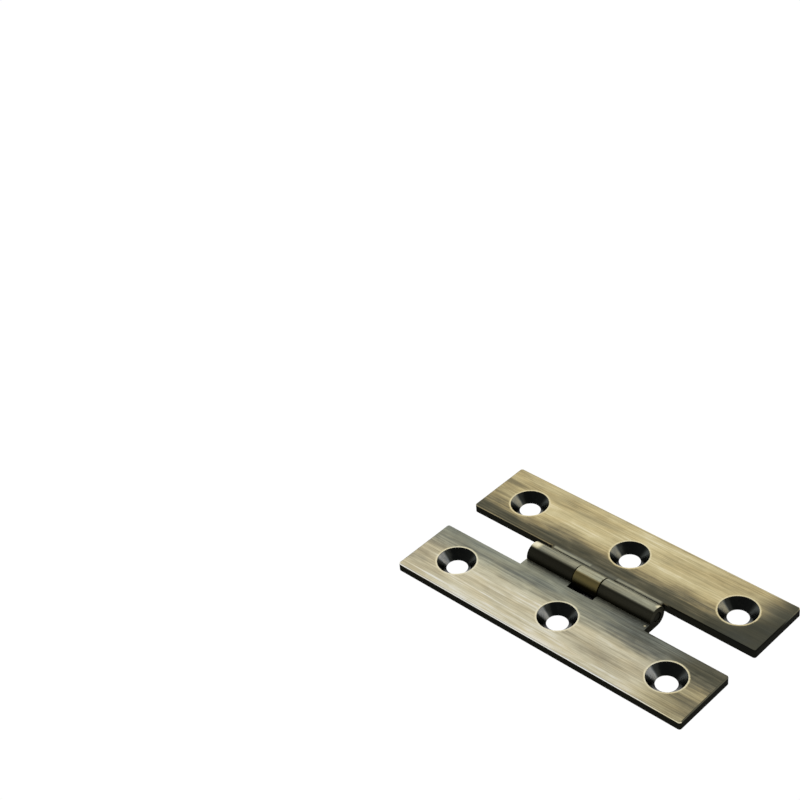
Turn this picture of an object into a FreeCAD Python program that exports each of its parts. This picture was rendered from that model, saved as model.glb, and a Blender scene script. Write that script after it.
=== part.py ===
import FreeCAD, Part
import os
import Sketcher

# Surface H hinge, laid open flat on its back.
# +X runs along the pin, +Y towards the leaf with the single centre knuckle,
# +Z out of the countersunk faces.  Origin: middle of the barrel, on the plane
# of the two backs.  Millimetres.

doc = FreeCAD.newDocument("h_hinge")

# ---------------------------------------------------------------- dimensions
sheet = doc.addObject("Spreadsheet::Sheet", "Dims")
TABLE = [
    ("leaf_length", 63.5, "length of each leaf, along the pin"),
    ("leaf_outer", 17.5, "pin axis to the leaf's outer edge"),
    ("leaf_inner", 3.7, "pin axis to the leaf's inner edge"),
    ("leaf_thick", 1.75, "plate thickness"),
    ("corner_radius", 0.5, "plan radius of the plate corners"),
    ("face_round", 0.25, "rounding of the edges of the polished faces"),
    ("back_round", 0.12, "broken edge round the back"),
    ("knuckle_round", 0.1, "broken edge at the knuckle ends"),
    ("barrel_length", 28.0, "length of the three knuckles together"),
    ("door_tongue", 25.0, "length of the tongue behind the centre knuckle"),
    ("knuckle_radius", 2.05, "outer radius of the knuckles"),
    ("notch_edge", 3.2, "pin axis to the bottom of the notches for the other leaf's knuckles"),
    ("joint_left", 3.5, "middle of the barrel to the left joint between knuckles"),
    ("joint_right", 2.2, "middle of the barrel to the right joint between knuckles"),
    ("play_left", 0.10, "end gap at the left joint"),
    ("play_right", 0.20, "end gap at the right joint"),
    ("pin_radius", 1.0, "radius of the pin"),
    ("pin_clearance", 0.05, "radial running clearance in the centre knuckle"),
    ("pin_recess", 0.1, "pin end below the end of the barrel"),
    ("pin_bevel", 0.2, "bevel on the pin ends"),
    ("hole_row", 10.35, "pin axis to the row of screw holes"),
    ("hole_pitch", 23.7, "centre hole to end hole"),
    ("hole_diameter", 4.0, "screw clearance hole"),
    ("sink_diameter", 7.3, "countersink at the face"),
    ("sink_angle", 90.0, "included angle of the countersink"),
]
for n, (name, value, note) in enumerate(TABLE, start=1):
    sheet.set("A%d" % n, name)
    sheet.set("B%d" % n, "%g" % value)
    sheet.set("C%d" % n, note)
    sheet.setAlias("B%d" % n, name)
doc.recompute()


class Size:
    """A length with the formula that drives it."""

    def __init__(self, value, formula):
        self.value, self.formula = value, formula

    def __add__(self, other):
        return Size(self.value + other.value, "(%s + %s)" % (self.formula, other.formula))

    def __sub__(self, other):
        return Size(self.value - other.value, "(%s - %s)" % (self.formula, other.formula))

    def __neg__(self):
        return Size(-self.value, "(0 - %s)" % self.formula)

    def half(self):
        return Size(self.value / 2, "(%s / 2)" % self.formula)


D = {name: Size(value, "Dims.%s" % name) for name, value, note in TABLE}
ZERO = Size(0.0, "0")


# ------------------------------------------------------------------- helpers
def new_body(label):
    body = doc.addObject("PartDesign::Body", label)
    body.Label = label
    body.Placement = FreeCAD.Placement()
    doc.recompute()
    return body


def plane(body, role):
    for item in body.Origin.OriginFeatures:
        if item.Role == role:
            return item
    raise RuntimeError("no origin plane " + role)


def new_sketch(body, name, role, offset=None):
    sk = body.newObject("Sketcher::SketchObject", name)
    sk.AttachmentSupport = [(plane(body, role), "")]
    sk.MapMode = "FlatFace"
    if offset is not None:
        sk.AttachmentOffset = FreeCAD.Placement(FreeCAD.Vector(0, 0, offset.value), FreeCAD.Rotation())
        sk.setExpression("AttachmentOffset.Base.z", offset.formula)
    doc.recompute()
    return sk


def pin_point(sk, geo, pos, x, y):
    """Hold one point of the sketch at x, y by driving dimensions."""
    for kind, size, axis in (("DistanceX", x, -2), ("DistanceY", y, -1)):
        if abs(size.value) < 1e-9:
            sk.addConstraint(Sketcher.Constraint("PointOnObject", geo, pos, axis))
        elif size.value > 0:
            n = sk.addConstraint(Sketcher.Constraint(kind, -1, 1, geo, pos, size.value))
            sk.setExpression("Constraints[%d]" % n, size.formula)
        else:
            n = sk.addConstraint(Sketcher.Constraint(kind, geo, pos, -1, 1, -size.value))
            sk.setExpression("Constraints[%d]" % n, (-size).formula)


def polygon(sk, points):
    first = sk.GeometryCount
    count = len(points)
    for i in range(count):
        a, b = points[i], points[(i + 1) % count]
        sk.addGeometry(
            Part.LineSegment(
                FreeCAD.Vector(a[0].value, a[1].value, 0), FreeCAD.Vector(b[0].value, b[1].value, 0)
            ),
            False,
        )
    for i in range(count):
        sk.addConstraint(Sketcher.Constraint("Coincident", first + i, 2, first + (i + 1) % count, 1))
    for i in range(count):
        pin_point(sk, first + i, 1, *points[i])


def circle(sk, x, y, radius):
    geo = sk.addGeometry(
        Part.Circle(FreeCAD.Vector(x.value, y.value, 0), FreeCAD.Vector(0, 0, 1), radius.value), False
    )
    pin_point(sk, geo, 3, x, y)
    n = sk.addConstraint(Sketcher.Constraint("Radius", geo, radius.value))
    sk.setExpression("Constraints[%d]" % n, radius.formula)


def pad(body, sk, name, length):
    feature = body.newObject("PartDesign::Pad", name)
    feature.Profile = sk
    feature.Length = length.value
    feature.setExpression("Length", length.formula)
    sk.Visibility = False
    doc.recompute()
    return feature


def edge_names(feature, test):
    return ["Edge%d" % (i + 1) for i, e in enumerate(feature.Shape.Edges) if test(e)]


def straight(e):
    return isinstance(e.Curve, (Part.Line, Part.LineSegment))


def ends(e):
    return [v.Point for v in e.Vertexes]


def fillet(body, base, name, names, radius):
    feature = body.newObject("PartDesign::Fillet", name)
    feature.Base = (base, names)
    feature.Radius = radius.value
    feature.setExpression("Radius", radius.formula)
    doc.recompute()
    return feature


# -------------------------------------------------------------------- leaves
def leaf(label, side, knuckles, tongue, bore_radius):
    """One solid leaf.  side is -1 or +1: where the plate lies along Y.
    knuckles: (start, end) along X of each of its own knuckles.
    tongue: length of the tongue that carries them."""

    def across(size):
        return size if side > 0 else -size

    body = new_body(label)
    half = D["leaf_length"].half()
    reach = tongue.half()

    # plate
    sk = new_sketch(body, label + "_plate_sketch", "XY_Plane")
    polygon(
        sk,
        [
            (-half, across(D["leaf_inner"])),
            (half, across(D["leaf_inner"])),
            (half, across(D["leaf_outer"])),
            (-half, across(D["leaf_outer"])),
        ],
    )
    last = pad(body, sk, label + "_plate", D["leaf_thick"])

    def upright(e):
        p = ends(e)
        return straight(e) and len(p) == 2 and abs(p[0].z - p[1].z) > 1.0

    last = fillet(body, last, label + "_corners", edge_names(last, upright), D["corner_radius"])

    # tongue that carries the barrel, down to the bottom of the notches
    overlap = Size(D["leaf_inner"].value + 1.0, "(Dims.leaf_inner + 1)")
    sk = new_sketch(body, label + "_tongue_sketch", "XY_Plane")
    polygon(
        sk,
        [
            (-reach, across(D["notch_edge"])),
            (reach, across(D["notch_edge"])),
            (reach, across(overlap)),
            (-reach, across(overlap)),
        ],
    )
    last = pad(body, sk, label + "_tongue", D["leaf_thick"])

    # knuckles: round section lying on the plane of the backs, with its web
    rise = D["knuckle_radius"].value - D["leaf_thick"].value
    foot = (D["knuckle_radius"].value ** 2 - rise**2) ** 0.5
    for n, (start, end) in enumerate(knuckles, start=1):
        sk = new_sketch(body, "%s_knuckle_%d_sketch" % (label, n), "YZ_Plane", start)
        root = D["notch_edge"] + Size(0.3, "0.3")
        r = D["knuckle_radius"].value
        v = FreeCAD.Vector
        out = side
        g_back = sk.addGeometry(Part.LineSegment(v(out * root.value, 0, 0), v(0, 0, 0)), False)
        g_arc = sk.addGeometry(
            Part.Arc(v(0, 0, 0), v(-out * r, r, 0), v(out * foot, D["leaf_thick"].value, 0)), False
        )
        g_face = sk.addGeometry(
            Part.LineSegment(
                v(out * foot, D["leaf_thick"].value, 0), v(out * root.value, D["leaf_thick"].value, 0)
            ),
            False,
        )
        g_root = sk.addGeometry(
            Part.LineSegment(
                v(out * root.value, D["leaf_thick"].value, 0), v(out * root.value, 0, 0)
            ),
            False,
        )

        def arc_end(x, y):
            a, b = sk.getPoint(g_arc, 1), sk.getPoint(g_arc, 2)
            da = (a.x - x) ** 2 + (a.y - y) ** 2
            db = (b.x - x) ** 2 + (b.y - y) ** 2
            return 1 if da < db else 2

        low, high = arc_end(0, 0), arc_end(out * foot, D["leaf_thick"].value)
        sk.addConstraint(Sketcher.Constraint("Coincident", g_back, 2, g_arc, low))
        sk.addConstraint(Sketcher.Constraint("Coincident", g_arc, high, g_face, 1))
        sk.addConstraint(Sketcher.Constraint("Coincident", g_face, 2, g_root, 1))
        sk.addConstraint(Sketcher.Constraint("Coincident", g_root, 2, g_back, 1))
        pin_point(sk, g_back, 1, across(root), ZERO)
        sk.addConstraint(Sketcher.Constraint("PointOnObject", g_back, 2, -2))
        sk.addConstraint(Sketcher.Constraint("Horizontal", g_back))
        sk.addConstraint(Sketcher.Constraint("Vertical", g_root))
        sk.addConstraint(Sketcher.Constraint("Horizontal", g_face))
        pin_point(sk, g_arc, 3, ZERO, D["knuckle_radius"])
        k = sk.addConstraint(
            Sketcher.Constraint("DistanceY", -1, 1, g_face, 2, D["leaf_thick"].value)
        )
        sk.setExpression("Constraints[%d]" % k, D["leaf_thick"].formula)
        doc.recompute()
        last = pad(body, sk, "%s_knuckle_%d" % (label, n), end - start)

    # pin bore right through the barrel
    sk = new_sketch(body, label + "_bore_sketch", "YZ_Plane")
    circle(sk, ZERO, D["knuckle_radius"], bore_radius)
    before = last.Shape.Volume
    bore = body.newObject("PartDesign::Pocket", label + "_bore")
    bore.Profile = sk
    bore.Type = "Length"
    bore.Length = D["barrel_length"].value + 2
    bore.setExpression("Length", "Dims.barrel_length + 2")
    bore.SideType = "Symmetric"
    sk.Visibility = False
    doc.recompute()
    if not before - bore.Shape.Volume > 3.0:
        raise RuntimeError("bore of %s removed %.3f" % (label, before - bore.Shape.Volume))
    last = bore

    # countersunk screw holes
    sk = new_sketch(body, label + "_screw_sketch", "XY_Plane", D["leaf_thick"])
    for x in (-D["hole_pitch"], ZERO, D["hole_pitch"]):
        circle(sk, x, across(D["hole_row"]), D["hole_diameter"].half())
    before = last.Shape.Volume
    holes = body.newObject("PartDesign::Hole", label + "_screw_holes")
    holes.Profile = sk
    doc.recompute()
    holes.ThreadType = "None"
    holes.DepthType = "ThroughAll"
    holes.Diameter = D["hole_diameter"].value
    holes.HoleCutType = "Countersink"
    holes.HoleCutCustomValues = True
    holes.HoleCutDiameter = D["sink_diameter"].value
    holes.HoleCutCountersinkAngle = D["sink_angle"].value
    holes.setExpression("Diameter", D["hole_diameter"].formula)
    holes.setExpression("HoleCutDiameter", D["sink_diameter"].formula)
    holes.setExpression("HoleCutCountersinkAngle", D["sink_angle"].formula)
    sk.Visibility = False
    doc.recompute()
    if not before - holes.Shape.Volume > 100.0:
        raise RuntimeError("screw holes of %s removed %.3f" % (label, before - holes.Shape.Volume))
    last = holes

    # rounded edges of the polished face: the plate's rim, then the notch bottoms
    thick = D["leaf_thick"].value
    outer = D["leaf_outer"].value

    def rim(e):
        p = ends(e)
        return (
            straight(e)
            and len(p) == 2
            and abs(p[0].z - thick) < 1e-6
            and abs(p[1].z - thick) < 1e-6
            and abs(abs(p[0].y) - outer) < 1e-6
            and abs(abs(p[1].y) - outer) < 1e-6
        )

    def notch(e):
        p = ends(e)
        return (
            straight(e)
            and len(p) == 2
            and abs(p[0].z - thick) < 1e-6
            and abs(p[1].z - thick) < 1e-6
            and abs(abs(p[0].y) - D["notch_edge"].value) < 1e-6
            and abs(abs(p[1].y) - D["notch_edge"].value) < 1e-6
        )

    last = fillet(body, last, label + "_face_edges", edge_names(last, rim), D["face_round"])
    last = fillet(body, last, label + "_notch_edges", edge_names(last, notch), D["face_round"])

    def back_rim(e):
        p = ends(e)
        return (
            straight(e)
            and len(p) == 2
            and abs(p[0].z) < 1e-6
            and abs(p[1].z) < 1e-6
            and abs(abs(p[0].y) - outer) < 1e-6
            and abs(abs(p[1].y) - outer) < 1e-6
        )

    last = fillet(body, last, label + "_back_edges", edge_names(last, back_rim), D["back_round"])

    # broken edges at the ends of the knuckles
    def knuckle_end(e):
        return (
            isinstance(e.Curve, Part.Circle)
            and abs(e.Curve.Radius - D["knuckle_radius"].value) < 1e-6
            and abs(abs(e.Curve.Axis.x) - 1) < 1e-6
        )

    last = fillet(body, last, label + "_knuckle_ends", edge_names(last, knuckle_end), D["knuckle_round"])
    body.Tip = last
    doc.recompute()
    return body


half_barrel = D["barrel_length"].half()
centre_start = D["play_left"].half() - D["joint_left"]
centre_end = D["joint_right"] - D["play_right"].half()
left_end = -(D["joint_left"] + D["play_left"].half())
right_start = D["joint_right"] + D["play_right"].half()

frame_leaf = leaf(
    "frame_leaf",
    -1,
    [(-half_barrel, left_end), (right_start, half_barrel)],
    D["barrel_length"],
    D["pin_radius"],
)
door_leaf = leaf(
    "door_leaf",
    1,
    [(centre_start, centre_end)],
    D["door_tongue"],
    D["pin_radius"] + D["pin_clearance"],
)

# ----------------------------------------------------------------------- pin
pin = new_body("hinge_pin")
pin_half = half_barrel - D["pin_recess"]
sk = new_sketch(pin, "hinge_pin_sketch", "YZ_Plane", -pin_half)
circle(sk, ZERO, D["knuckle_radius"], D["pin_radius"])
rod = pad(pin, sk, "hinge_pin_rod", pin_half + pin_half)
bevel = pin.newObject("PartDesign::Chamfer", "hinge_pin_bevels")
bevel.Base = (rod, edge_names(rod, lambda e: not straight(e)))
bevel.Size = D["pin_bevel"].value
bevel.setExpression("Size", D["pin_bevel"].formula)
doc.recompute()
pin.Tip = bevel
doc.recompute()

# --------------------------------------------------------------------- write
for obj in doc.Objects:
    if "Invalid" in obj.State or "Error" in obj.State:
        raise RuntimeError("%s is in state %s" % (obj.Name, obj.State))
os.makedirs("parts", exist_ok=True)
for body in (frame_leaf, door_leaf, pin):
    shape = body.Shape
    if shape.isNull() or not shape.isValid() or len(shape.Solids) != 1:
        raise RuntimeError("bad solid in " + body.Label)
    box = shape.BoundBox
    print(
        "%s  volume %.2f  x %.3f %.3f  y %.3f %.3f  z %.3f %.3f  faces %d"
        % (body.Label, shape.Volume, box.XMin, box.XMax, box.YMin, box.YMax, box.ZMin, box.ZMax, len(shape.Faces))
    )
    shape.exportStep("parts/%s.step" % body.Label)
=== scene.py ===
import math

import bpy
from mathutils import Matrix, Vector

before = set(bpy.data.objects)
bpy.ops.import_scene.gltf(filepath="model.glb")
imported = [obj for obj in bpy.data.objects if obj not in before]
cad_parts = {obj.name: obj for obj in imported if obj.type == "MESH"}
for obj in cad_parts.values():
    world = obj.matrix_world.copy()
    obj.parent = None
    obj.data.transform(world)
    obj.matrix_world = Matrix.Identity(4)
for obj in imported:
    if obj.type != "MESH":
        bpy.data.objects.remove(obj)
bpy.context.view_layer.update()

scene = bpy.context.scene

# ---------------------------------------------------------------- main sizes, mm
PITCH = 23.7        # screw hole pitch along the leaf
ROW = 10.35         # screw hole row, from the pin axis
SINK_R = 3.65       # countersink rim radius
FACE_Z = 1.75       # height of the flat leaf faces
AXIS_Z = 2.05       # height of the pin axis
KNUCKLE_R = 2.05    # barrel radius
LEAF_END = 31.75    # half the leaf length
LEAF_OUT = 17.5     # outer long edge of a leaf, from the pin axis
BARREL_END = 14.0   # half the barrel length


# ---------------------------------------------------------------- node helpers
class Nodes:
    """Builds one material's node tree with short arithmetic calls."""

    def __init__(self, name):
        self.mat = bpy.data.materials.new(name)
        self.mat.use_nodes = True
        self.t = self.mat.node_tree
        self.t.nodes.clear()
        self.out = self.t.nodes.new("ShaderNodeOutputMaterial")
        self.bsdf = self.t.nodes.new("ShaderNodeBsdfPrincipled")
        self.t.links.new(self.bsdf.outputs["BSDF"], self.out.inputs["Surface"])
        tc = self.t.nodes.new("ShaderNodeTexCoord")
        mm = self.t.nodes.new("ShaderNodeVectorMath")
        mm.operation = "SCALE"
        mm.inputs["Scale"].default_value = 1000.0
        self.t.links.new(tc.outputs["Object"], mm.inputs[0])
        self.p = mm.outputs[0]
        self.x, self.y, self.z = self.split(self.p)
        self.nx, self.ny, self.nz = self.split(tc.outputs["Normal"])

    def put(self, socket, v):
        if isinstance(v, (int, float)):
            socket.default_value = v
        elif isinstance(v, (tuple, list)):
            socket.default_value = (*v, 1.0) if len(socket.default_value) == 4 and len(v) == 3 else v
        else:
            self.t.links.new(v, socket)

    def split(self, vec):
        n = self.t.nodes.new("ShaderNodeSeparateXYZ")
        self.t.links.new(vec, n.inputs[0])
        return n.outputs[0], n.outputs[1], n.outputs[2]

    def join(self, x, y, z):
        n = self.t.nodes.new("ShaderNodeCombineXYZ")
        for s, v in zip(n.inputs, (x, y, z)):
            self.put(s, v)
        return n.outputs[0]

    def m(self, op, a, b=None, c=None, clamp=False):
        n = self.t.nodes.new("ShaderNodeMath")
        n.operation = op
        n.use_clamp = clamp
        for s, v in zip(n.inputs, (a, b, c)):
            if v is not None:
                self.put(s, v)
        return n.outputs[0]

    def add(self, *v):
        r = v[0]
        for k in v[1:]:
            r = self.m("ADD", r, k)
        return r

    def mul(self, *v):
        r = v[0]
        for k in v[1:]:
            r = self.m("MULTIPLY", r, k)
        return r

    def sub(self, a, b):
        return self.m("SUBTRACT", a, b)

    def inv(self, a):
        return self.m("SUBTRACT", 1.0, a)

    def big(self, a, b):
        return self.m("MAXIMUM", a, b)

    def small(self, a, b):
        return self.m("MINIMUM", a, b)

    def step(self, v, lo, hi, a=0.0, b=1.0):
        """Smooth change from a at lo to b at hi."""
        n = self.t.nodes.new("ShaderNodeMapRange")
        n.interpolation_type = "SMOOTHSTEP"
        self.put(n.inputs["Value"], v)
        n.inputs["From Min"].default_value = lo
        n.inputs["From Max"].default_value = hi
        self.put(n.inputs["To Min"], a)
        self.put(n.inputs["To Max"], b)
        return n.outputs["Result"]

    def band(self, v, a, b, c, d):
        """0 before a, 1 from b to c, 0 after d."""
        return self.mul(self.step(v, a, b), self.step(v, c, d, 1.0, 0.0))

    def lerp(self, f, a, b):
        n = self.t.nodes.new("ShaderNodeMix")
        n.data_type = "FLOAT"
        self.put(n.inputs["Factor"], f)
        self.put(n.inputs[2], a)
        self.put(n.inputs[3], b)
        return n.outputs[0]

    def mix(self, f, a, b, how="MIX"):
        n = self.t.nodes.new("ShaderNodeMix")
        n.data_type = "RGBA"
        n.blend_type = how
        self.put(n.inputs["Factor"], f)
        self.put(n.inputs[6], a)
        self.put(n.inputs[7], b)
        return n.outputs[2]

    def noise(self, vec, scale, detail=2.0, rough=0.5, warp=0.0):
        n = self.t.nodes.new("ShaderNodeTexNoise")
        self.t.links.new(vec, n.inputs["Vector"])
        n.inputs["Scale"].default_value = scale
        n.inputs["Detail"].default_value = detail
        n.inputs["Roughness"].default_value = rough
        n.inputs["Distortion"].default_value = warp
        return n.outputs["Fac"]

    def ramp(self, f, stops, how="LINEAR"):
        n = self.t.nodes.new("ShaderNodeValToRGB")
        n.color_ramp.interpolation = how
        e = n.color_ramp.elements
        while len(e) < len(stops):
            e.new(0.5)
        for k, (pos, col) in zip(e, stops):
            k.position = pos
            k.color = (*col, 1.0)
        self.put(n.inputs["Fac"], f)
        return n.outputs["Color"]

    def streaks(self, length, width, seed, detail=2.0, rough=0.55):
        """Noise drawn out along the leaf, about length by width mm."""
        v = self.join(
            self.m("DIVIDE", self.x, length),
            self.m("DIVIDE", self.y, width),
            self.add(self.m("DIVIDE", self.z, width), seed),
        )
        return self.sub(self.noise(v, 1.0, detail, rough), 0.5)

    def patches(self, length, width, seed, detail=2.0):
        v = self.join(
            self.m("DIVIDE", self.x, length),
            self.m("DIVIDE", self.y, width),
            self.add(self.m("DIVIDE", self.z, width), seed),
        )
        return self.sub(self.noise(v, 1.0, detail, 0.5, 0.4), 0.5)


# wear 0 is untouched black oxide, wear 1 is bare pale brass; painted highlights and painted shade are set on the same
# scale
OXIDE_TO_BRASS = (
    (0.00, (0.008, 0.008, 0.006)),
    (0.15, (0.027, 0.026, 0.018)),
    (0.30, (0.066, 0.066, 0.049)),
    (0.42, (0.103, 0.098, 0.066)),
    (0.52, (0.172, 0.155, 0.100)),
    (0.64, (0.325, 0.273, 0.153)),
    (0.76, (0.520, 0.443, 0.245)),
    (0.86, (0.670, 0.580, 0.330)),
    (1.00, (0.900, 0.840, 0.630)),
)


def antique_brass(name, side, seed):
    """Blackened brass relieved by brushing along the leaf: brass showing on the faces and high edges, black in the
    recesses; painted highlights along the top of the barrel, on the edges, on the cone walls and in a few glints,
    painted shade down the barrel's sides and in one crease.
    """
    g = Nodes(name)
    front = side < 0
    out_y = g.m("ABSOLUTE", g.y)
    far_x = g.m("ABSOLUTE", g.x)

    # distance from the nearest screw hole's centre
    fold = g.sub(g.x, g.mul(PITCH, g.m("ROUND", g.m("DIVIDE", g.x, PITCH))))
    off = g.sub(out_y, ROW)
    hole = g.m("SQRT", g.add(g.mul(fold, fold), g.mul(off, off)))

    # brushing lines at several widths, over a soft mottle
    hair = g.streaks(5.0, 0.085, seed + 1.0, 3.0, 0.6)
    fine = g.streaks(9.0, 0.26, seed + 5.0, 2.0)
    line = g.streaks(15.0, 0.62, seed + 9.0, 2.0)
    sweep = g.streaks(30.0, 1.9, seed + 13.0, 1.0)
    cloud = g.patches(11.0, 3.6, seed + 17.0, 2.0)
    mottle = g.patches(3.2, 1.3, seed + 29.0, 3.0)
    grit = g.sub(g.noise(g.p, 3.0, 3.0, 0.6), 0.5)
    streak = g.add(
        g.mul(hair, 0.28), g.mul(fine, 0.29), g.mul(line, 0.20),
        g.mul(sweep, 0.17), g.mul(cloud, 0.14), g.mul(mottle, 0.16),
    )

    # how bright the flat face is: least beside the barrel and towards the ends, with patches set region by region
    wob = g.add(g.mul(cloud, 1.3), g.mul(line, 1.0), g.mul(mottle, 0.8))
    yy = g.add(out_y, wob)
    xx = g.add(g.x, g.mul(cloud, 5.0), g.mul(line, 4.0), g.mul(mottle, 2.0))
    if front:
        face = g.add(
            g.step(yy, 5.4, 11.0, 0.595, 0.855),
            g.mul(g.band(out_y, 11.6, 12.6, 13.4, 14.6), -0.065),
            g.mul(g.step(out_y, 15.0, 17.0), 0.05),
            g.mul(g.step(xx, -32.0, -20.0, 1.0, 0.0), g.step(out_y, 6.0, 9.0), -0.10),
            g.mul(g.step(xx, -32.0, -20.0, 1.0, 0.0), g.band(out_y, 13.4, 14.4, 15.4, 16.4), -0.05),
            g.mul(g.step(xx, 2.0, 14.0), g.step(out_y, 9.0, 12.0, 1.0, 0.7), -0.07),
            g.mul(g.band(xx, 4.0, 9.0, 16.0, 21.0), g.band(out_y, 13.0, 14.2, 15.4, 16.4), -0.07),
            g.mul(g.step(xx, 20.0, 28.0), g.step(out_y, 4.0, 8.5, 0.45, 1.0), -0.17),
            g.mul(g.step(xx, 20.0, 26.0), g.band(out_y, 8.5, 10.0, 11.4, 12.4), 0.06),
        )
        streak = g.mul(streak, g.step(out_y, 4.0, 10.0, 0.75, 1.0))
    else:
        end = g.step(g.add(xx, g.step(out_y, 7.0, 12.5, 2.6, -1.7)), 22.0, 30.8)
        face = g.add(
            g.step(yy, 4.0, 10.5, 0.39, 0.83),
            g.mul(g.step(xx, 4.0, 16.0), g.band(out_y, 6.6, 8.0, 9.0, 11.0), -0.06),
            g.mul(g.step(xx, -30.0, -22.5, 1.0, 0.0), g.band(out_y, 8.4, 10.0, 13.6, 14.6), -0.12),
            g.mul(g.step(xx, -31.0, -24.0, 1.0, 0.0), g.band(out_y, 11.5, 12.4, 13.6, 14.4), -0.06),
            g.mul(g.band(out_y, 12.4, 14.0, 15.8, 16.6), g.step(far_x, 2.0, 10.0, 0.2, 1.0), -0.07),
            g.mul(g.step(out_y, 15.8, 16.6), g.step(xx, -6.0, 2.0, 1.0, 0.3), -0.08),
        )
        dull = g.add(0.335, g.mul(g.step(out_y, 9.0, 16.5), 0.06), g.mul(g.step(out_y, 4.2, 6.4, 1.0, 0.0), 0.035))
        face = g.lerp(end, face, dull)
        streak = g.mul(streak, g.lerp(end, 1.0, 0.5))
        # a painted highlight along the edge beside the barrel, which is also rubbed bare by handling
        centre = g.band(g.x, -3.7, -3.5, 2.2, 2.4)
        edge_wear_and_highlight = g.mul(g.band(g.add(out_y, g.mul(line, 0.4)), 2.9, 3.1, 3.72, 4.3), g.step(far_x, 11.9, 12.5, 1.0, 0.0))
        edge_wear_and_highlight = g.mul(edge_wear_and_highlight, g.lerp(centre, 1.0, 0.55))
        face = g.lerp(g.mul(edge_wear_and_highlight, 0.95), face, g.step(g.x, -4.0, 0.0, 0.67, 0.63))
        # painted shade in the crease where the leaf curls into its knuckle
        face = g.lerp(g.mul(centre, g.step(out_y, 3.55, 3.05), 0.85), face, 0.36)
    face = g.small(g.add(face, streak), 0.95)

    # polished ring round each countersink
    ring = g.band(g.add(hole, g.mul(grit, 0.22), g.mul(fine, 0.3)), SINK_R - 0.10, SINK_R + 0.0, SINK_R + 0.14, SINK_R + 0.42)
    face = g.lerp(g.mul(ring, 0.90), face, g.add(0.95 if front else 0.93, g.mul(grit, 0.25)))

    # barrel: a painted highlight along its crown, which is also worn bare there, and painted shade down its sides,
    # darker towards the foot
    lean = g.step(g.x, -6.0, 6.0, -0.036, -0.008) if front else -0.018
    behind = g.step(g.x, -2.0, 6.0, 0.78, 0.55) if front else 0.60
    ahead = g.step(g.add(g.nz, lean), 0.84, 0.945)
    crown_wear_and_highlight = g.lerp(g.step(g.ny, -0.02, 0.02), ahead, g.step(g.nz, 0.62, 0.90, behind, 1.0))
    crown_wear_and_highlight = g.mul(crown_wear_and_highlight, g.step(g.nz, 0.40, 0.56))
    if front:
        shade = g.add(0.015, g.mul(g.step(g.z, 1.7, 2.9), g.step(g.x, 0.0, 4.0, 0.08, 0.135)))
        barrel = g.lerp(crown_wear_and_highlight, shade, g.add(0.635, g.mul(streak, 0.9), g.mul(g.step(g.ny, 0.0, -0.30), g.step(g.x, -2.0, 4.0), 0.07)))
        # painted glints at both outer ends of the crown
        left_glint = g.mul(g.step(g.x, -11.9, -13.0), g.step(g.nz, 0.80, 0.93), g.step(g.ny, -0.45, -0.15))
        right_glint = g.mul(g.step(g.x, 13.2, 13.7), g.step(g.nz, 0.66, 0.80), g.step(g.ny, -0.05, 0.2))
        end_glints = g.big(left_glint, g.mul(right_glint, 0.8))
        barrel = g.lerp(end_glints, barrel, 0.99)
    else:
        shade = g.step(g.z, 1.9, 3.5, 0.05, 0.42)
        barrel = g.lerp(crown_wear_and_highlight, g.mul(shade, g.step(g.ny, -0.05, 0.2, 1.0, 0.4)), g.add(0.655, g.mul(streak, 0.8), g.mul(g.step(g.ny, 0.05, -0.30), 0.18)))
    barrel = g.add(barrel, g.mul(grit, 0.06), g.mul(fine, 0.08))
    on_barrel = g.mul(g.step(out_y, 2.08, 2.2, 1.0, 0.0), g.step(far_x, 14.05, 14.2, 1.0, 0.0))

    # side faces and cones stay black; an upper arris is rubbed bright where its face is, and carries a painted edge
    # highlight as well
    flat = g.step(g.nz, 0.90, 0.985)
    arris = g.mul(g.step(g.nz, 0.08, 0.30), g.step(g.nz, 0.90, 0.985, 1.0, 0.0), g.step(g.z, 1.48, 1.58))
    outer = g.step(out_y, 16.9, 17.1)
    if front:
        arris_rub_and_highlight = g.big(outer, 0.6)
        arris_bare_and_highlight = g.add(g.lerp(outer, 0.74, 1.0), g.mul(g.step(xx, 18.0, 28.0), -0.08))
    else:
        arris_rub_and_highlight = g.mul(g.lerp(outer, 0.85, 1.0), g.step(xx, 12.6, 14.0, 1.0, g.step(out_y, 10.0, 16.0, 0.0, 0.8)))
        arris_bare_and_highlight = g.lerp(outer, 0.68, 0.92)
        # painted highlight on the inner edge beside the barrel, which is also rubbed
        beside = g.mul(g.step(far_x, 12.3, 12.6, 1.0, 0.0), g.step(out_y, 3.0, 3.1), g.step(out_y, 3.5, 3.6, 1.0, 0.0))
        arris = g.big(arris, g.mul(beside, g.step(g.z, 1.36, 1.48), g.step(g.nz, 0.90, 0.985, 1.0, 0.0)))
    black = g.add(0.004, g.mul(grit, 0.05), g.mul(fine, 0.07))
    plate = g.lerp(flat, black, face)
    plate = g.lerp(g.mul(arris, arris_rub_and_highlight), plate, g.add(arris_bare_and_highlight, g.mul(cloud, 0.3)))
    cone = g.mul(g.step(hole, SINK_R - 0.1, SINK_R + 0.06, 1.0, 0.0), g.band(g.nz, -0.8, -0.5, 0.95, 0.99))
    # painted reflection on the cone walls that face along the leaf
    facing = g.add(g.mul(g.nx, 0.985), g.mul(g.ny, 0.174))
    cone_reflection = g.add(
        g.mul(g.step(facing, 0.52, 0.62), 0.16),
        g.mul(g.step(facing, 0.655, 0.695), 0.42),
        g.mul(g.step(g.nx, -0.16, -0.46), g.step(g.ny, 0.30, 0.0), 0.33),
        g.mul(mottle, 0.25, g.step(g.m("ABSOLUTE", g.nx), 0.2, 0.5)),
    )
    plate = g.lerp(cone, plate, g.add(0.0, cone_reflection, g.mul(grit, 0.10)))
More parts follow.
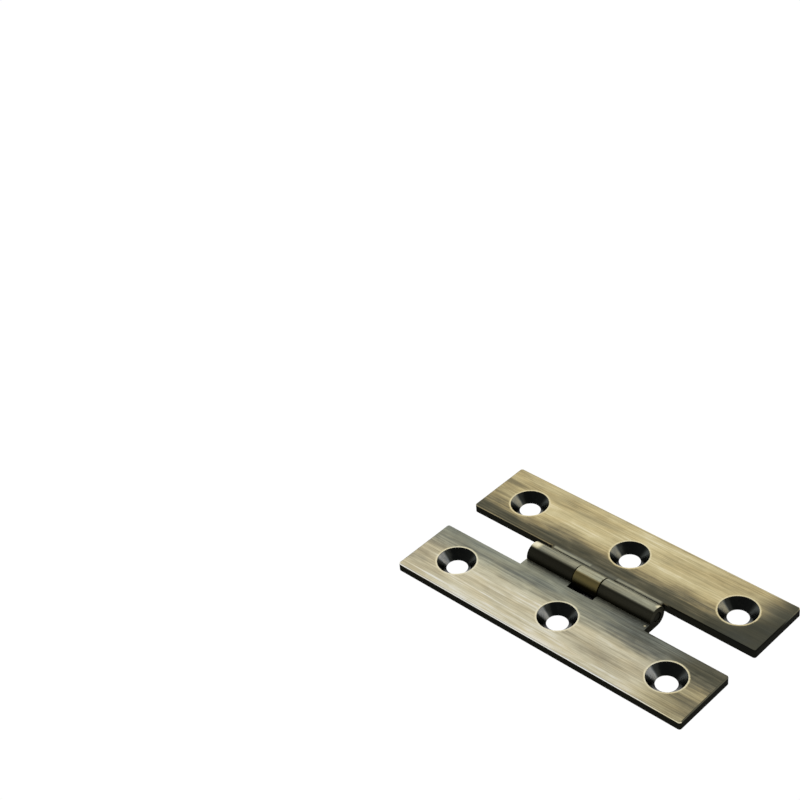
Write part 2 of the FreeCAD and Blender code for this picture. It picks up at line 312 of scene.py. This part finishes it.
    # the backs are unbrushed, with a plain dull finish
    back = g.step(g.nz, -0.90, -0.985)
    plate = g.lerp(back, plate, g.add(0.50, g.mul(streak, 0.55), g.mul(grit, 0.10)))
    if front:
        # a small painted glint on the face at the foot of the barrel's end
        glint_spot = g.m("SQRT", g.add(g.m("POWER", g.sub(g.x, 13.45), 2.0), g.m("POWER", g.add(g.y, 2.85), 2.0)))
        glint_spot = g.mul(g.step(glint_spot, 0.30, 0.16), g.step(g.nz, 0.3, 0.6))
        plate = g.lerp(glint_spot, plate, 0.93)
    wear = g.lerp(on_barrel, plate, barrel)
    wear = g.m("MINIMUM", g.m("MAXIMUM", wear, 0.0), 1.0)

    colour = g.ramp(wear, OXIDE_TO_BRASS)
    if front:
        # a cool blue-grey tint on this leaf, strongest beside the barrel
        warm = g.step(xx, 19.0, 28.0)
        blue_grey_near_barrel = g.step(yy, 4.5, 11.0, 1.0, 0.0)
        cool = g.mix(blue_grey_near_barrel, (1.00, 1.07, 1.36), (0.97, 1.19, 1.66))
        cool = g.mix(g.mul(warm, 0.85), cool, (1.0, 1.03, 1.08))
        cool = g.mix(g.big(back, glint_spot), cool, (1.0, 1.0, 1.0))
        cool = g.mix(g.mul(ring, 0.75), cool, (1.0, 1.02, 1.06))
        # the crown's painted highlight is tinted cool, apart from the painted glints at its ends
        cool = g.mix(on_barrel, cool, g.mix(g.mul(crown_wear_and_highlight, g.inv(end_glints)), (1.0, 1.0, 1.0), (0.96, 1.13, 1.50)))
        colour = g.mix(g.step(wear, 0.24, 0.64), colour, g.mix(1.0, colour, cool, "MULTIPLY"))
    else:
        # painted highlights on the crown and on the edge beside the barrel are tinted cool
        lit = g.mul(on_barrel, crown_wear_and_highlight)
        edge = g.big(lit, edge_wear_and_highlight)
        colour = g.mix(edge, colour, g.mix(1.0, colour, (0.96, 1.12, 1.45), "MULTIPLY"))
        bronze = g.mul(on_barrel, g.inv(crown_wear_and_highlight))
        colour = g.mix(bronze, colour, g.mix(1.0, colour, (1.16, 1.0, 0.60), "MULTIPLY"))
        grey = g.mul(end, g.step(out_y, 4.0, 10.0, 0.9, 0.5))
        colour = g.mix(grey, colour, g.mix(1.0, colour, (0.97, 1.02, 1.12), "MULTIPLY"))
    colour = g.mix(cone, colour, g.mix(1.0, colour, (0.90, 1.0, 1.30), "MULTIPLY"))
    tint = g.patches(8.0, 2.2, seed + 23.0, 2.0)
    colour = g.mix(g.step(tint, -0.12, 0.16, 0.0, 0.40), colour, g.mix(1.0, colour, (1.05, 0.97, 0.84), "MULTIPLY"))

    b = g.bsdf
    g.put(b.inputs["Base Color"], colour)
    b.inputs["Metallic"].default_value = 1.0
    rough = g.add(g.step(wear, 0.05, 0.9, 0.44, 0.33), g.mul(fine, 0.14), g.mul(grit, 0.06))
    g.put(b.inputs["Roughness"], g.lerp(cone, rough, 0.26))
    b.inputs["Specular Tint"].default_value = (0.5, 0.5, 0.5, 1.0)
    b.inputs["Anisotropic"].default_value = 0.45
    across = g.t.nodes.new("ShaderNodeVectorTransform")
    across.vector_type = "VECTOR"
    across.convert_from = "OBJECT"
    across.convert_to = "WORLD"
    across.inputs[0].default_value = (0.0, 1.0, 0.0)
    g.t.links.new(across.outputs[0], b.inputs["Tangent"])

    # scratches stand a few microns deep
    height = g.add(g.mul(hair, 0.5), g.mul(fine, 0.7), g.mul(line, 0.5), g.mul(grit, 0.15))
    bump = g.t.nodes.new("ShaderNodeBump")
    bump.inputs["Strength"].default_value = 0.35
    bump.inputs["Distance"].default_value = 0.00006
    g.t.links.new(height, bump.inputs["Height"])
    g.t.links.new(bump.outputs[0], b.inputs["Normal"])
    return g.mat


def pin_brass(name):
    """The pin: drawn brass, turned at the ends and dulled."""
    g = Nodes(name)
    r = g.m("SQRT", g.add(g.mul(g.y, g.y), g.mul(g.sub(g.z, AXIS_Z), g.sub(g.z, AXIS_Z))))
    end = g.step(g.m("ABSOLUTE", g.nx), 0.5, 0.8)
    rings = g.sub(g.noise(g.join(g.mul(r, 9.0), 0.0, g.mul(g.x, 0.2)), 1.0, 3.0, 0.6), 0.5)
    lines = g.streaks(5.0, 0.12, 3.0, 3.0)
    grit = g.sub(g.noise(g.p, 4.0, 3.0, 0.6), 0.5)
    wear = g.lerp(end, g.add(0.45, g.mul(lines, 0.5)), g.add(0.02, g.mul(rings, 0.25)))
    wear = g.add(wear, g.mul(grit, 0.25), g.mul(g.step(r, 0.72, 0.98), end, -0.12))
    g.put(g.bsdf.inputs["Base Color"], g.ramp(g.m("MINIMUM", g.m("MAXIMUM", wear, 0.0), 1.0), OXIDE_TO_BRASS))
    g.bsdf.inputs["Metallic"].default_value = 1.0
    g.bsdf.inputs["Specular Tint"].default_value = (0.5, 0.5, 0.5, 1.0)
    g.put(g.bsdf.inputs["Roughness"], g.add(0.38, g.mul(grit, 0.2)))
    bump = g.t.nodes.new("ShaderNodeBump")
    bump.inputs["Strength"].default_value = 0.3
    bump.inputs["Distance"].default_value = 0.00004
    g.t.links.new(g.lerp(end, lines, rings), bump.inputs["Height"])
    g.t.links.new(bump.outputs[0], g.bsdf.inputs["Normal"])
    return g.mat


def dress(node, mat):
    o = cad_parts[node]
    for s in o.material_slots:
        s.material = mat


dress("frame_leaf", antique_brass("frame_leaf_brass", -1, 2.0))
dress("door_leaf", antique_brass("door_leaf_brass", 1, 41.0))
dress("hinge_pin", pin_brass("hinge_pin_brass"))


# ---------------------------------------------------------------- floor
def sheet(name, x0, y0, x1, y1, z):
    me = bpy.data.meshes.new(name)
    me.from_pydata([(x0, y0, z), (x1, y0, z), (x1, y1, z), (x0, y1, z)], [], [(0, 1, 2, 3)])
    o = bpy.data.objects.new(name, me)
    scene.collection.objects.link(o)
    m = bpy.data.materials.new(name)
    m.use_nodes = True
    m.node_tree.nodes.clear()
    me.materials.append(m)
    return m.node_tree


def one_sided(t, shader, cover):
    """Shows the shader from above by the cover share, and nothing from below."""
    out = t.nodes.new("ShaderNodeOutputMaterial")
    clear = t.nodes.new("ShaderNodeBsdfTransparent")
    geo = t.nodes.new("ShaderNodeNewGeometry")
    hide = t.nodes.new("ShaderNodeMath")
    hide.operation = "SUBTRACT"
    hide.use_clamp = True
    if isinstance(cover, float):
        hide.inputs[0].default_value = cover
    else:
        t.links.new(cover, hide.inputs[0])
    t.links.new(geo.outputs["Backfacing"], hide.inputs[1])
    mix = t.nodes.new("ShaderNodeMixShader")
    t.links.new(hide.outputs[0], mix.inputs[0])
    t.links.new(clear.outputs[0], mix.inputs[1])
    t.links.new(shader, mix.inputs[2])
    t.links.new(mix.outputs[0], out.inputs["Surface"])


# a pale light table, far enough down for a leaf to swing below the other
ft = sheet("floor", -20.0, -20.0, 20.0, 20.0, -0.030)
glow = ft.nodes.new("ShaderNodeEmission")
glow.inputs["Color"].default_value = (1.0, 1.0, 1.0, 1.0)
glow.inputs["Strength"].default_value = 1.02
one_sided(ft, glow.outputs[0], 1.0)

# contact shade in the narrow slot under the centre knuckle, clear wherever the slot opens
ct = sheet("contact_shade", -0.0058, -0.0036, 0.0030, -0.0002, 0.00003)
dark = ct.nodes.new("ShaderNodeBsdfDiffuse")
dark.inputs["Color"].default_value = (0.004, 0.004, 0.004, 1.0)
ao = ct.nodes.new("ShaderNodeAmbientOcclusion")
ao.samples = 16
ao.inputs["Distance"].default_value = 0.008
shut = ct.nodes.new("ShaderNodeMapRange")
shut.interpolation_type = "SMOOTHSTEP"
for k, q in (("From Min", 0.32), ("From Max", 0.50), ("To Min", 1.0), ("To Max", 0.0)):
    shut.inputs[k].default_value = q
ct.links.new(ao.outputs["AO"], shut.inputs["Value"])
one_sided(ct, dark.outputs[0], shut.outputs["Result"])

# ---------------------------------------------------------------- soft light: a bright backdrop, dim above and in front
world = bpy.data.worlds.new("studio")
scene.world = world
world.use_nodes = True
wt = world.node_tree
wt.nodes.clear()
wo = wt.nodes.new("ShaderNodeOutputWorld")
wb = wt.nodes.new("ShaderNodeBackground")
wt.links.new(wb.outputs[0], wo.inputs["Surface"])


def wmath(op, a, b=None):
    n = wt.nodes.new("ShaderNodeMath")
    n.operation = op
    for s, v in zip(n.inputs, (a, b)):
        if v is None:
            continue
        if isinstance(v, (int, float)):
            s.default_value = v
        else:
            wt.links.new(v, s)
    return n.outputs[0]


def wstep(v, lo, hi, a, b):
    n = wt.nodes.new("ShaderNodeMapRange")
    n.interpolation_type = "SMOOTHSTEP"
    wt.links.new(v, n.inputs["Value"])
    for k, q in (("From Min", lo), ("From Max", hi), ("To Min", a), ("To Max", b)):
        n.inputs[k].default_value = q
    return n.outputs["Result"]


wc = wt.nodes.new("ShaderNodeTexCoord")
ws = wt.nodes.new("ShaderNodeSeparateXYZ")
wt.links.new(wc.outputs["Generated"], ws.inputs[0])
wx, wy, wz = ws.outputs
rear = wstep(wmath("SUBTRACT", wmath("MULTIPLY", wy, 0.9), wmath("MULTIPLY", wx, 0.1)), -0.35, 0.45, 0.0, 1.0)
sky_rear = wstep(wz, 0.70, 0.95, 1.05, 0.40)
sky_front = wmath("MULTIPLY", wstep(wz, 0.45, 0.90, 0.88, 0.40), wstep(wz, 0.04, 0.22, 1.17, 1.0))
sky = wmath("ADD", wmath("MULTIPLY", rear, sky_rear), wmath("MULTIPLY", wmath("SUBTRACT", 1.0, rear), sky_front))
wt.links.new(sky, wb.inputs["Strength"])
wb.inputs["Color"].default_value = (1.0, 1.0, 1.0, 1.0)

# ---------------------------------------------------------------- camera
AZ, EL, ROLL = math.radians(46.8812), math.radians(36.1533), math.radians(-5.7934)
AIM = Vector((-0.0661532, 0.0193066, 0.001 * FACE_Z))
FAR = 0.3746220
back = Vector((math.sin(AZ) * math.cos(EL), -math.cos(AZ) * math.cos(EL), math.sin(EL)))
right = Vector((math.cos(AZ), math.sin(AZ), 0.0))
up = back.cross(right)
r2 = right * math.cos(ROLL) + up * math.sin(ROLL)
u2 = up * math.cos(ROLL) - right * math.sin(ROLL)
cd = bpy.data.cameras.new("camera")
cd.sensor_fit = "HORIZONTAL"
cd.sensor_width = 36.0
cd.lens = 1821.7032 / 800.0 * 36.0
cd.clip_start = 0.01
cd.clip_end = 50.0
cam = bpy.data.objects.new("camera", cd)
scene.collection.objects.link(cam)
place = AIM + back * FAR
cam.matrix_world = Matrix((
    (r2.x, u2.x, back.x, place.x),
    (r2.y, u2.y, back.y, place.y),
    (r2.z, u2.z, back.z, place.z),
    (0.0, 0.0, 0.0, 1.0),
))
scene.camera = cam
scene.view_settings.view_transform = "Standard"
